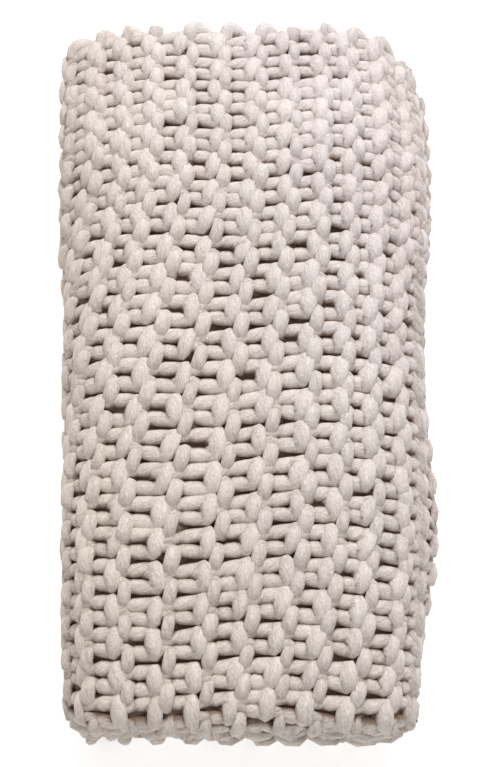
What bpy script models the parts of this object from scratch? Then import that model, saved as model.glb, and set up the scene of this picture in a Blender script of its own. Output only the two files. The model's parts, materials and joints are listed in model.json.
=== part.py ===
"""A chunky knit throw, folded in half end to end and then back and forth into a flat pile.

The blanket is one sheet of garter stitch. Folding it in half makes a layer of two plies that are
joined at the near end by a tight roll. That layer is then laid back and forth across the pile, so
one sheet makes every ply. The solid is swept the same way: a hairpin of one ply's thickness, drawn
along a serpentine that runs from the free edge of the top layer to that of the bottom one.

Metres. +Z is up, +Y points from the rolled near end to the far end, where the selvedges lie, and
+X is to the right as seen from the near end. The origin is under the centre of the pile, on the
surface that it rests on.
"""

import math
from collections import namedtuple

import bpy
import numpy as np

# The knitted cloth, pressed by its own weight
PLY = 0.0155  # thickness of one ply
GAP = 0.0025  # air between neighbouring plies
EDGE_ROUND = 0.004  # how far in from a cut edge the ply reaches its full thickness
EDGE_THIN = 0.55  # thickness left at the edge itself, as a share of PLY

# The pile
HALF_LENGTH = 0.3185  # from the middle to the far selvedges, and to the rolled near end
CENTRE_SHIFT = 0.0065  # brings the middle of the uneven pile over the origin, in X
RIGHT, LEFT = 1, -1

# The faces of the solid
FLAT_STEPS = 7  # across one layer, from fold to fold
FOLD_STEPS = 8  # round one fold
LENGTH_STEPS = 10  # along one ply, from the far end to the roll
ROLL_STEPS = 6  # round the roll at the near end

# How far each edge of the serpentine reaches sideways, at five stations along the pile.
# The top layer starts at its free edge on the right; each fold turns into the layer below.
STATIONS = (1.0, 0.5, 0.0, -0.5, -1.0)
Edge = namedtuple("Edge", "name side far upper middle lower near")
EDGES = (
    Edge("top free edge", RIGHT, 0.150, 0.152, 0.143, 0.139, 0.124),
    Edge("first fold", LEFT, 0.180, 0.170, 0.159, 0.152, 0.143),
    Edge("second fold", RIGHT, 0.167, 0.164, 0.150, 0.156, 0.126),
    Edge("third fold", LEFT, 0.166, 0.163, 0.161, 0.150, 0.146),
    Edge("fourth fold", RIGHT, 0.163, 0.157, 0.153, 0.152, 0.131),
    Edge("bottom free edge", LEFT, 0.158, 0.150, 0.148, 0.144, 0.138),
)

# How much further than the pile's half length each layer reaches at its two ends
Layer = namedtuple("Layer", "name far near")
LAYERS = (
    Layer("top", 0.000, 0.000),
    Layer("second", -0.006, -0.005),
    Layer("third", -0.002, -0.002),
    Layer("fourth", -0.008, -0.006),
    Layer("bottom", -0.004, -0.003),
)

# The soft crown: the share of its height that the pile loses towards each side
Slump = namedtuple("Slump", "name share start")
SIDE_SLUMP = Slump("sides", 0.09, 0.35)
FAR_SLUMP = Slump("far end", 0.13, 0.55)
NEAR_SLUMP = Slump("near end", 0.06, 0.70)

# The free edge of the top layer hangs down over the fold below it
DROOP = 0.022  # how far the edge itself drops
DROOP_REACH = 0.050  # how far in from the edge the bend starts
DROOP_FOOT = 0.075  # the height under which nothing drops

# Long soft waves that thick knit keeps after folding, as shares of the height
Wave = namedtuple("Wave", "rise across along phase")
WAVES = (
    Wave(0.010, 9.0, 5.5, 0.6),
    Wave(0.007, -14.0, 11.0, 2.1),
)

# The far corners are drawn in, because the outermost ridges are shorter than the rest
Corner = namedtuple("Corner", "side start width pull")
CORNERS = (
    Corner(RIGHT, 0.116, 0.024, 0.017),
    Corner(LEFT, 0.135, 0.030, 0.005),
)

CLOTH_COLOUR = (0.76, 0.70, 0.65, 1.0)
CLOTH_ROUGHNESS = 0.9

PITCH = PLY + GAP
LAYER_PITCH = 2 * PITCH
ROLL_RADIUS = PITCH / 2
FOLD_RADIUS = LAYER_PITCH / 2
OUTER_REACH = ROLL_RADIUS + PLY / 2  # from the middle of a layer to its outer face
EDGE_ROUND_SHARE = EDGE_ROUND / (EDGES[0].middle + EDGES[1].middle)


def smooth(t):
    """0 below 0, 1 above 1, and a smooth rise between."""
    t = np.clip(t, 0.0, 1.0)
    return t * t * (3.0 - 2.0 * t)


def along_length(edge, y):
    """The sideways reach of an edge at y, on one smooth curve through its five stations."""
    reach = np.array(edge[2:])[::-1]
    place = np.array(STATIONS)[::-1] * HALF_LENGTH
    slope = np.gradient(reach, place)
    span = np.clip(np.searchsorted(place, y) - 1, 0, len(place) - 2)
    step = place[span + 1] - place[span]
    t = np.clip((y - place[span]) / step, 0.0, 1.0)
    return (
        (2 * t**3 - 3 * t**2 + 1) * reach[span]
        + (t**3 - 2 * t**2 + t) * step * slope[span]
        + (3 * t**2 - 2 * t**3) * reach[span + 1]
        + (t**3 - t**2) * step * slope[span + 1]
    )


def layer_height(index):
    """The height of the middle of a layer, counted from the top one."""
    return (len(LAYERS) - index - 0.5) * LAYER_PITCH - GAP / 2


def edge_centre(index, y):
    """The x at which the flat part of a layer ends: the axis of a fold, or a free edge."""
    edge = EDGES[index]
    free = index in (0, len(EDGES) - 1)
    return edge.side * (along_length(edge, y) - (0.0 if free else FOLD_RADIUS + OUTER_REACH))


def serpentine():
    """The stations of the sweep: (layer, start share, fold angle, edge thickness) for each.

    The start share runs from 0 to 1 across the flat part of a layer. The fold angle runs from 0
    to pi round the fold at that layer's far side, and is None on the flat part.
    """
    stations = []
    last = len(LAYERS) - 1
    for layer in range(len(LAYERS)):
        shares = list(np.linspace(0.0, 1.0, FLAT_STEPS + 1))
        if layer == 0:
            shares.insert(1, EDGE_ROUND_SHARE)
        if layer == last:
            shares.insert(-1, 1.0 - EDGE_ROUND_SHARE)
        for share in shares:
            free = (layer == 0 and share == 0.0) or (layer == last and share == 1.0)
            stations.append((layer, share, None, EDGE_THIN if free else 1.0))
        if layer < last:
            for step in range(1, FOLD_STEPS):
                stations.append((layer, 1.0, math.pi * step / FOLD_STEPS, 1.0))
    return stations


def hairpin():
    """The section of a layer along the pile: (y, offset, normal y, normal offset, thickness).

    It runs along the outer ply from the far end, round the roll, and back along the inner ply.
    """
    far = HALF_LENGTH
    near = -HALF_LENGTH + OUTER_REACH
    places = list(np.linspace(far, near, LENGTH_STEPS + 1))
    places.insert(1, far - EDGE_ROUND)
    there = [(y, ROLL_RADIUS, 0.0, 1.0, EDGE_THIN if y == far else 1.0) for y in places]
    back = [(y, -ROLL_RADIUS, 0.0, -1.0, thin) for y, _, _, _, thin in reversed(there)]
    roll = []
    for step in range(1, ROLL_STEPS):
        angle = math.pi * step / ROLL_STEPS
        out, up = -math.sin(angle), math.cos(angle)
        roll.append((near + ROLL_RADIUS * out, ROLL_RADIUS * up, out, up, 1.0))
    return there + roll + back


def layer_end(station, y):
    """How far a station's layer is moved along the pile at y, blended round the folds."""
    layer, _, angle, _ = station
    turned = 0.0 if angle is None else angle / math.pi
    here, below = LAYERS[layer], LAYERS[min(layer + 1, len(LAYERS) - 1)]
    far = here.far + (below.far - here.far) * turned
    near = here.near + (below.near - here.near) * turned
    share = y / HALF_LENGTH
    return np.where(share > 0.0, far * smooth(share), -near * smooth(-share))


def path_point(station, y):
    """(x, z, normal x, normal z) of the middle of the layer at a station, at y."""
    layer, share, angle, _ = station
    end = edge_centre(layer + 1, y)
    side = EDGES[layer + 1].side
    if angle is None:
        start = edge_centre(layer, y)
        return start + (end - start) * share, layer_height(layer), 0.0, -float(side)
    x = end + side * FOLD_RADIUS * math.sin(angle)
    z = layer_height(layer) - FOLD_RADIUS * (1.0 - math.cos(angle))
    return x, z, -math.sin(angle), -side * math.cos(angle)


def settle(points):
    """Lets the pile slump, wave and hang over its right side, and draws in its far corners.

    Heights are scaled, and only high points hang, so the underside stays flat on the surface.
    """
    x, y, z = points.T
    share_x = np.abs(x) / max(edge.middle for edge in EDGES)
    share_y = y / HALF_LENGTH
    lost = (
        SIDE_SLUMP.share * smooth((share_x - SIDE_SLUMP.start) / (1.0 - SIDE_SLUMP.start))
        + FAR_SLUMP.share * smooth((share_y - FAR_SLUMP.start) / (1.0 - FAR_SLUMP.start))
        + NEAR_SLUMP.share * smooth((-share_y - NEAR_SLUMP.start) / (1.0 - NEAR_SLUMP.start))
    )
    lost = lost + sum(
        wave.rise * (1.0 - np.sin(wave.across * x + wave.along * y + wave.phase)) for wave in WAVES
    )
    bend = np.clip((x - along_length(EDGES[0], y)) / DROOP_REACH + 1.0, 0.0, 1.25)
    held = np.clip((z - DROOP_FOOT) / (layer_height(0) - DROOP_FOOT), 0.0, 1.0)
    pulled = sum(
        corner.pull * smooth((corner.side * x - corner.start) / corner.width) for corner in CORNERS
    )
    moved = np.array(points)
    moved[:, 0] += CENTRE_SHIFT
    moved[:, 1] -= pulled * smooth(share_y)
    moved[:, 2] = (z - DROOP * bend**2 * held) * (1.0 - lost)
    return moved


def ply_faces():
    """The two faces of the ply, as grids of points: stations by section points by xyz."""
    stations, section = serpentine(), hairpin()
    upper = np.zeros((len(stations), len(section), 3))
    lower = np.zeros_like(upper)
    for i, station in enumerate(stations):
        for j, (y, offset, normal_y, normal_offset, thin) in enumerate(section):
            x, z, normal_x, normal_z = path_point(station, y)
            middle = np.array((x + normal_x * offset, y + layer_end(station, y), z + normal_z * offset))
            normal = np.array((normal_x * normal_offset, normal_y, normal_z * normal_offset))
            half = PLY / 2 * min(thin, station[3])
            upper[i, j] = middle + normal * half
            lower[i, j] = middle - normal * half
    return upper, lower


def closed_mesh(name, upper, lower):
    """One closed mesh from the two faces of the ply and the rims between them."""
    rows, columns, _ = upper.shape
    points = settle(np.concatenate((upper.reshape(-1, 3), lower.reshape(-1, 3))))
    under = rows * columns

    def at(i, j):
        return i * columns + j

    faces = []
    for i in range(rows - 1):
        for j in range(columns - 1):
            a, b, c, d = at(i, j), at(i + 1, j), at(i + 1, j + 1), at(i, j + 1)
            faces.append((a, b, c, d))
            faces.append((d + under, c + under, b + under, a + under))
    rim = [at(i, 0) for i in range(rows)]
    rim += [at(rows - 1, j) for j in range(1, columns)]
    rim += [at(i, columns - 1) for i in range(rows - 2, -1, -1)]
    rim += [at(0, j) for j in range(columns - 2, 0, -1)]
    for here, onward in zip(rim, rim[1:] + rim[:1]):
        faces.append((onward, here, here + under, onward + under))
    mesh = bpy.data.meshes.new(name)
    mesh.from_pydata(points.tolist(), [], faces)
    mesh.validate()
    if signed_volume(mesh) < 0:
        mesh.flip_normals()
    mesh.shade_smooth()
    return mesh


def signed_volume(mesh):
    """Six times the volume that the faces enclose, negative if they point inwards."""
    mesh.calc_loop_triangles()
    return sum(
        mesh.vertices[a].co.dot(mesh.vertices[b].co.cross(mesh.vertices[c].co))
        for a, b, c in (triangle.vertices for triangle in mesh.loop_triangles)
    )


def cloth_material():
    """The matte, undyed yarn."""
    material = bpy.data.materials.new("yarn")
    material.use_nodes = True
    shader = material.node_tree.nodes["Principled BSDF"]
    shader.inputs["Base Color"].default_value = CLOTH_COLOUR
    shader.inputs["Roughness"].default_value = CLOTH_ROUGHNESS
    shader.inputs["Metallic"].default_value = 0.0
    return material


def build_blanket():
    """The folded blanket, as one solid."""
    mesh = closed_mesh("blanket", *ply_faces())
    mesh.materials.append(cloth_material())
    blanket = bpy.data.objects.new("blanket", mesh)
    bpy.context.scene.collection.objects.link(blanket)
    return blanket


for existing in list(bpy.data.objects):
    bpy.data.objects.remove(existing)
build_blanket()
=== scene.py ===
"""Looks of a chunky knit throw that lies folded in a flat pile.

The throw is one sheet of garter stitch in thick, loosely twisted roving. It is folded in half end
to end and then laid back and forth, so its rows run along the pile and its ridges follow every
fold. The script works out where a point of the flat cloth lies in the pile, draws each stitch's
yarn in the flat cloth, and carries it there. Metres throughout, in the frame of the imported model.
"""

import json
import logging
import math
from dataclasses import dataclass, field
from enum import Enum
from typing import Iterator, NamedTuple

import bpy
import numpy as np
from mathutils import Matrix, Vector

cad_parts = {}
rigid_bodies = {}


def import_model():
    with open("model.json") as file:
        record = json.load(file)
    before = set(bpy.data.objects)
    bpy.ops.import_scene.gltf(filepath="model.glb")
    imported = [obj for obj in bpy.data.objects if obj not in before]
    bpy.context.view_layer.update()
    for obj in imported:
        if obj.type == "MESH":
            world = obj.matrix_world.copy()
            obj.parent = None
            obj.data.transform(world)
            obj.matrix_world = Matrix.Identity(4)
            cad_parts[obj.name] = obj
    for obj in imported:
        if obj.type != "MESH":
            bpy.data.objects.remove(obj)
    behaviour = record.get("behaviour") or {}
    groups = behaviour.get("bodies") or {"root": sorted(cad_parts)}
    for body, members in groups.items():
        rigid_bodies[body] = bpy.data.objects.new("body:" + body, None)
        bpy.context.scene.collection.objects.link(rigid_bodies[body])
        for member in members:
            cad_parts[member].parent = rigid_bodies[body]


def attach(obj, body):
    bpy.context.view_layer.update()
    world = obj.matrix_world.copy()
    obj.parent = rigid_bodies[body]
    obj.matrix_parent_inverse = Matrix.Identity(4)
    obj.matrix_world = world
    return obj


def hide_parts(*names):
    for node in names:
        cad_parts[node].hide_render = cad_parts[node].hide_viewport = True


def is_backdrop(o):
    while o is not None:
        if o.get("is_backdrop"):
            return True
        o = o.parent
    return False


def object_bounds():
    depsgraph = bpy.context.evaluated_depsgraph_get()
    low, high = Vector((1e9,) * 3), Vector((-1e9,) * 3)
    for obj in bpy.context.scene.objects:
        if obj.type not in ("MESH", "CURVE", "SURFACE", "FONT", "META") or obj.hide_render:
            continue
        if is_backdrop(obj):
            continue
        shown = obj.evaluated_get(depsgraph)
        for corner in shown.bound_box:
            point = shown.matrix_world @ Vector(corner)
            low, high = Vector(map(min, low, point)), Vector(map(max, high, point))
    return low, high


LOG = logging.getLogger("knit_throw")
NODE = "blanket"
BODY = "root"
SEED = 20
TINY = 1e-9


class Side(Enum):
    """A side of the pile, as seen from its rolled near end."""

    RIGHT = 1
    LEFT = -1


class Detail(Enum):
    """How finely a stitch is drawn: (points along its yarn, sides round its yarn)."""

    FINE = (26, 10)
    PLAIN = (20, 8)

    @property
    def points(self) -> int:
        """The points along one stitch."""
        return self.value[0]

    @property
    def sides(self) -> int:
        """The sides round its yarn."""
        return self.value[1]


class Stations(NamedTuple):
    """A value at five stations along the pile, from the far end to the near end."""

    far: float
    upper: float
    middle: float
    lower: float
    near: float


class Edge(NamedTuple):
    """A fold or free edge, and how far it reaches sideways."""

    name: str
    side: Side
    reach: Stations


class Layer(NamedTuple):
    """How much further than the pile's half length a layer of two plies reaches at its ends."""

    name: str
    far: float
    near: float


class Slump(NamedTuple):
    """The share of its height that the pile loses towards a side, and where that starts."""

    share: float
    start: float


class Wave(NamedTuple):
    """A long soft wave of the whole pile, as a share of its height."""

    rise: float
    across: float
    along: float
    phase: float


class Corner(NamedTuple):
    """A far corner that is drawn in along the pile."""

    side: Side
    start: float
    width: float
    pull: float


def smooth(t: np.ndarray) -> np.ndarray:
    """0 below 0, 1 above 1, and a smooth rise between."""
    t = np.clip(t, 0.0, 1.0)
    return t * t * (3.0 - 2.0 * t)


@dataclass
class Pile:
    """The folded pile: where each point of the flat cloth lies.

    A point of the cloth is given by its length along its ply from the free edge of the top layer,
    its place along the hairpin of the two plies from the upper selvedge, and its depth out of the
    middle of its ply.
    """

    half_length: float
    ply: float = 0.0155
    gap: float = 0.0025
    centre_shift: float = 0.0065
    edges: tuple[Edge, ...] = (
        Edge("top free edge", Side.RIGHT, Stations(0.150, 0.152, 0.143, 0.139, 0.124)),
        Edge("first fold", Side.LEFT, Stations(0.180, 0.170, 0.159, 0.152, 0.143)),
        Edge("second fold", Side.RIGHT, Stations(0.167, 0.164, 0.150, 0.156, 0.126)),
        Edge("third fold", Side.LEFT, Stations(0.166, 0.163, 0.161, 0.150, 0.146)),
        Edge("fourth fold", Side.RIGHT, Stations(0.163, 0.157, 0.153, 0.152, 0.131)),
        Edge("bottom free edge", Side.LEFT, Stations(0.158, 0.150, 0.148, 0.144, 0.138)),
    )
    layers: tuple[Layer, ...] = (
        Layer("top", 0.000, 0.000),
        Layer("second", -0.006, -0.005),
        Layer("third", -0.002, -0.002),
        Layer("fourth", -0.008, -0.006),
        Layer("bottom", -0.004, -0.003),
    )
    side_slump: Slump = Slump(0.09, 0.35)
    far_slump: Slump = Slump(0.13, 0.55)
    near_slump: Slump = Slump(0.06, 0.70)
    droop: float = 0.022
    droop_reach: float = 0.050
    droop_foot: float = 0.075
    droop_limit: float = 1.25
    waves: tuple[Wave, ...] = (Wave(0.010, 9.0, 5.5, 0.6), Wave(0.007, -14.0, 11.0, 2.1))
    corners: tuple[Corner, ...] = (
        Corner(Side.RIGHT, 0.116, 0.024, 0.017),
        Corner(Side.LEFT, 0.135, 0.030, 0.005),
    )

    @property
    def pitch(self) -> float:
        """The height that one ply takes up."""
        return self.ply + self.gap

    @property
    def roll_radius(self) -> float:
        """The radius of the roll at the near end, to the middle of the ply."""
        return self.pitch / 2

    @property
    def fold_radius(self) -> float:
        """The radius of a fold, to the middle of the two plies."""
        return self.pitch

    @property
    def outer_reach(self) -> float:
        """From the middle of a layer of two plies to its outer face."""
        return self.roll_radius + self.ply / 2

    @property
    def flat_run(self) -> float:
        """The length of one ply from its selvedge to the start of the roll."""
        return 2 * self.half_length - self.outer_reach

    @property
    def doubled_length(self) -> float:
        """The whole length of the cloth along the hairpin, from selvedge to selvedge."""
        return 2 * self.flat_run + math.pi * self.roll_radius

    def at_stations(self, values: Stations, y: np.ndarray) -> np.ndarray:
        """One smooth curve through a value's five stations.

        Args:
            values: The value at each station.
            y: Places along the pile.

        Returns:
            The value at each place.
        """
        value = np.array(values)[::-1]
        place = np.linspace(-self.half_length, self.half_length, len(value))
        slope = np.gradient(value, place)
        span = np.clip(np.searchsorted(place, y) - 1, 0, len(place) - 2)
        step = place[1] - place[0]
        t = np.clip((y - place[span]) / step, 0.0, 1.0)
        return (
            (2 * t**3 - 3 * t**2 + 1) * value[span]
            + (t**3 - 2 * t**2 + t) * step * slope[span]
            + (3 * t**2 - 2 * t**3) * value[span + 1]
            + (t**3 - t**2) * step * slope[span + 1]
        )

    def layer_height(self, index: int) -> float:
        """The height of the middle of a layer, counted from the top one."""
        return (len(self.layers) - index - 0.5) * 2 * self.pitch - self.gap / 2

    def flat_end(self, index: int, y: np.ndarray) -> np.ndarray:
        """The x at which a layer's flat part ends: the axis of a fold, or a free edge.

        Args:
            index: The edge's number, from the top free edge.
            y: Places along the pile.

        Returns:
            The x at each place.
        """
        edge = self.edges[index]
        free = index in (0, len(self.edges) - 1)
        inset = 0.0 if free else self.fold_radius + self.outer_reach
        return edge.side.value * (self.at_stations(edge.reach, y) - inset)

    def path_ends(self, y: np.ndarray) -> list[np.ndarray]:
        """The path length at which each flat part and each fold ends, in turn.

        Args:
            y: Places along the pile.

        Returns:
            One array for each part, with a length at each place.
        """
        ends = []
        total = np.zeros_like(y)
        for index in range(len(self.layers)):
            total = total + np.abs(self.flat_end(index + 1, y) - self.flat_end(index, y))
            ends.append(total)
            if index < len(self.layers) - 1:
                total = total + math.pi * self.fold_radius
                ends.append(total)
        return ends

    def place(self, length: np.ndarray, along: np.ndarray, depth: np.ndarray) -> np.ndarray:
        """Where points of the cloth lie in the pile.

        Args:
            length: Length along the ply from the free edge of the top layer.
            along: Distance along the hairpin from the upper selvedge.
            depth: Distance out of the middle of the ply, away from the other ply.

        Returns:
            An array of points, one row each.
        """
        y, middle, out, up = self.hairpin(along)
        offset = middle + up * depth
        x, z, normal_x, normal_z, turn = self.serpentine(length, y, middle)
        points = np.stack((x + normal_x * offset, y + out * depth, z + normal_z * offset), axis=-1)
        points[..., 1] += self.layer_shift(turn, y)
        return self.settle(points)

    def along_y(self, along: np.ndarray) -> np.ndarray:
        """The place along the pile of a distance along the hairpin."""
        return self.hairpin(along)[0]

    def hairpin(self, along: np.ndarray) -> tuple[np.ndarray, ...]:
        """The section of a layer, which the two plies and their roll make.

        Args:
            along: Distances along the hairpin from the upper selvedge.

        Returns:
            The place along the pile, the height over the layer's middle, and the normal's y and z.
        """
        angle = np.clip((along - self.flat_run) / self.roll_radius, 0.0, math.pi)
        back = np.clip(along - self.flat_run - math.pi * self.roll_radius, 0.0, None)
        there = np.minimum(along, self.flat_run)
        y = self.half_length - there + back - np.sin(angle) * self.roll_radius
        return y, np.cos(angle) * self.roll_radius, -np.sin(angle), np.cos(angle)

    def serpentine(
        self, length: np.ndarray, y: np.ndarray, offset: np.ndarray
    ) -> tuple[np.ndarray, ...]:
        """The back-and-forth path of a ply.

        A ply is longer round the outside of a fold than the middle of its layer is. The flat part
        after the fold takes up the difference, so that the plies come to the next fold together.

        Args:
            length: Length along the ply from the free edge of the top layer.
            y: Places along the pile.
            offset: The ply's distance from the middle of its layer.

        Returns:
            The path's x and z, its normal's x and z, and how many layers it has turned through.
        """
        found = [np.zeros_like(length) for _ in range(5)]
        start = ply_start = np.zeros_like(y)
        ends = self.path_ends(y)
        for part, end in enumerate(ends):
            layer, folding = divmod(part, 2)
            side = self.edges[layer + 1].side.value
            ply_end = end - side * math.pi * offset if folding else end
            here = np.full(length.shape, True) if part == 0 else length >= ply_start
            if part < len(ends) - 1:
                here &= length < ply_end
            run = (length - ply_start) / (ply_end - ply_start) * (end - start)
            height = self.layer_height(layer)
            if folding:
                angle = run / self.fold_radius
                values = (
                    self.flat_end(layer + 1, y) + side * self.fold_radius * np.sin(angle),
                    height - self.fold_radius * (1.0 - np.cos(angle)),
                    -np.sin(angle),
                    -side * np.cos(angle),
                    layer + angle / math.pi,
                )
            else:
                values = (self.flat_end(layer, y) + side * run, height, 0.0, -side, layer)
            for whole, value in zip(found, values):
                whole[here] = np.broadcast_to(value, length.shape)[here]
            start, ply_start = end, ply_end
        return tuple(found)

    def layer_shift(self, turn: np.ndarray, y: np.ndarray) -> np.ndarray:
        """How far a layer is moved along the pile at y, blended round the folds.

        Args:
            turn: How many layers the path has turned through.
            y: Places along the pile.

        Returns:
            The shift at each place.
        """
        index = np.arange(len(self.layers))
        far = np.interp(turn, index, [layer.far for layer in self.layers])
        near = np.interp(turn, index, [layer.near for layer in self.layers])
        share = y / self.half_length
        return np.where(share > 0.0, far * smooth(share), -near * smooth(-share))

    def settle(self, points: np.ndarray) -> np.ndarray:
        """Lets the pile slump, wave and hang over its right side, and draws in its far corners.

        Args:
            points: Points of a pile with flat layers.

        Returns:
            The moved points.
        """
        x, y, z = points[..., 0], points[..., 1], points[..., 2]
        share_x = np.abs(x) / max(edge.reach.middle for edge in self.edges)
        share_y = y / self.half_length
        side, far, near = self.side_slump, self.far_slump, self.near_slump
        lost = (
            side.share * smooth((share_x - side.start) / (1.0 - side.start))
            + far.share * smooth((share_y - far.start) / (1.0 - far.start))
            + near.share * smooth((-share_y - near.start) / (1.0 - near.start))
        )
        for wave in self.waves:
            lost = lost + wave.rise * (1.0 - np.sin(wave.across * x + wave.along * y + wave.phase))
        edge = self.at_stations(self.edges[0].reach, y)
        bend = np.clip((x - edge) / self.droop_reach + 1.0, 0.0, self.droop_limit)
        held = np.clip((z - self.droop_foot) / (self.layer_height(0) - self.droop_foot), 0.0, 1.0)
        pulled = sum(
            corner.pull * smooth((corner.side.value * x - corner.start) / corner.width)
            for corner in self.corners
        )
        moved = np.empty_like(points)
        moved[..., 0] = x + self.centre_shift
        moved[..., 1] = y - pulled * smooth(share_y)
        moved[..., 2] = (z - self.droop * bend**2 * held) * (1.0 - lost)
        return moved


class Course(NamedTuple):
    """A row of the top layer, and how far from the free edge it lies."""

    row: float
    length: Stations


@dataclass
class Gauge:
    """The knit's gauge, and how its rows are spread over the pile.

    The rows of the top layer lie closer where its free edge hangs down, and drift over the first
    fold where the pile is wider. The hidden rows take up the difference.
    """

    pile: Pile
    stitches: int = 46
    widths: Stations = Stations(0.0290, 0.0262, 0.0290, 0.0266, 0.0235)
    fullness: Stations = Stations(1.06, 1.05, 1.045, 0.99, 0.92)
    row_height: float = 0.0165
    selvedge: float = 0.006
    first_line: float = 0.25
    last_inset: float = 1.20
    count_steps: int = 400
    courses: tuple[Course, ...] = (
        Course(2.1, Stations(0.0130, 0.0160, 0.0245, 0.0195, 0.0235)),
        Course(4.1, Stations(0.0370, 0.0400, 0.0455, 0.0485, 0.0560)),
        Course(6.1, Stations(0.0660, 0.0670, 0.0685, 0.0750, 0.0860)),
        Course(8.1, Stations(0.0900, 0.0930, 0.0975, 0.1055, 0.1150)),
        Course(12.1, Stations(0.1510, 0.1535, 0.1600, 0.1730, 0.1700)),
        Course(15.4, Stations(0.2045, 0.2062, 0.2176, 0.2390, 0.2150)),
        Course(17.4, Stations(0.2360, 0.2353, 0.2520, 0.2650, 0.2440)),
        Course(19.4, Stations(0.2650, 0.2620, 0.2770, 0.2870, 0.2680)),
        Course(21.4, Stations(0.2900, 0.2870, 0.3000, 0.3090, 0.2900)),
        Course(23.4, Stations(0.3140, 0.3110, 0.3230, 0.3310, 0.3120)),
    )

    @property
    def stitch_width(self) -> float:
        """The mean width of one stitch, along the pile."""
        return (self.pile.doubled_length - 2 * self.selvedge) / self.stitches

    def along(self, stitch: np.ndarray) -> np.ndarray:
        """The distance along the hairpin at which a stitch lies, counted from its far end.

        Args:
            stitch: Places in stitches from the upper selvedge.

        Returns:
            The distance of each.
        """
        end = self.pile.doubled_length - self.selvedge
        place = np.linspace(self.selvedge, end, self.count_steps)
        rate = 1.0 / self.pile.at_stations(self.widths, self.pile.along_y(place))
        count = np.concatenate(([0.0], np.cumsum((rate[1:] + rate[:-1]) / 2)))
        return np.interp(stitch, count / count[-1] * self.stitches, place)

    def swelling(self, along: np.ndarray) -> np.ndarray:
        """How full the yarn is at a distance along the hairpin: thinner where the knit is slack."""
        return self.pile.at_stations(self.fullness, self.pile.along_y(along))

    @property
    def line_count(self) -> float:
        """The length of the cloth in rows, from its bound-off edge to its cast-on edge."""
        middle = self.pile.path_ends(np.zeros(1))[-1][0]
        return self.first_line + self.last_inset + round(middle / self.row_height)

    @property
    def rows(self) -> int:
        """How many rows the cloth has."""
        return int(round(self.line_count - self.first_line - self.last_inset)) + 1

    def path_length(self, row: np.ndarray, y: np.ndarray) -> np.ndarray:
        """The length from the free edge at which a row lies, at a place along the pile.

        Args:
            row: Places in rows from the free edge.
            y: Places along the pile.

        Returns:
            The length of each.
        """
        pile = self.pile
        length = np.zeros(np.broadcast(row, y).shape)
        start_row, start = 0.0, np.zeros_like(y)
        knots = [(course.row, pile.at_stations(course.length, y)) for course in self.courses]
        knots.append((self.line_count, pile.path_ends(y)[-1]))
        for end_row, end in knots:
            share = (row - start_row) / (end_row - start_row)
            reached = (row >= start_row) | (start_row == 0.0)
            length = np.where(reached, start + share * (end - start), length)
            start_row, start = end_row, end
        return length

    def row_line(self, row: int) -> float:
        """The middle of a row, in rows from the free edge."""
        return row + self.first_line

    def place(self, row: np.ndarray, along: np.ndarray, depth: np.ndarray) -> np.ndarray:
        """Where points of the knit lie: (rows from the free edge, along the hairpin, depth)."""
        return self.pile.place(self.path_length(row, self.pile.along_y(along)), along, depth)


class Bend(NamedTuple):
    """A point of the yarn on its way from a sinker up to the next head.

    Across is in stitch widths from the stitch's middle. Rise, depth and radius are in metres.
    Flat is the yarn's thickness as a share of its width.
    """

    name: str
    across: float
    rise: float
    depth: float
    radius: float
    flat: float


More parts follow.
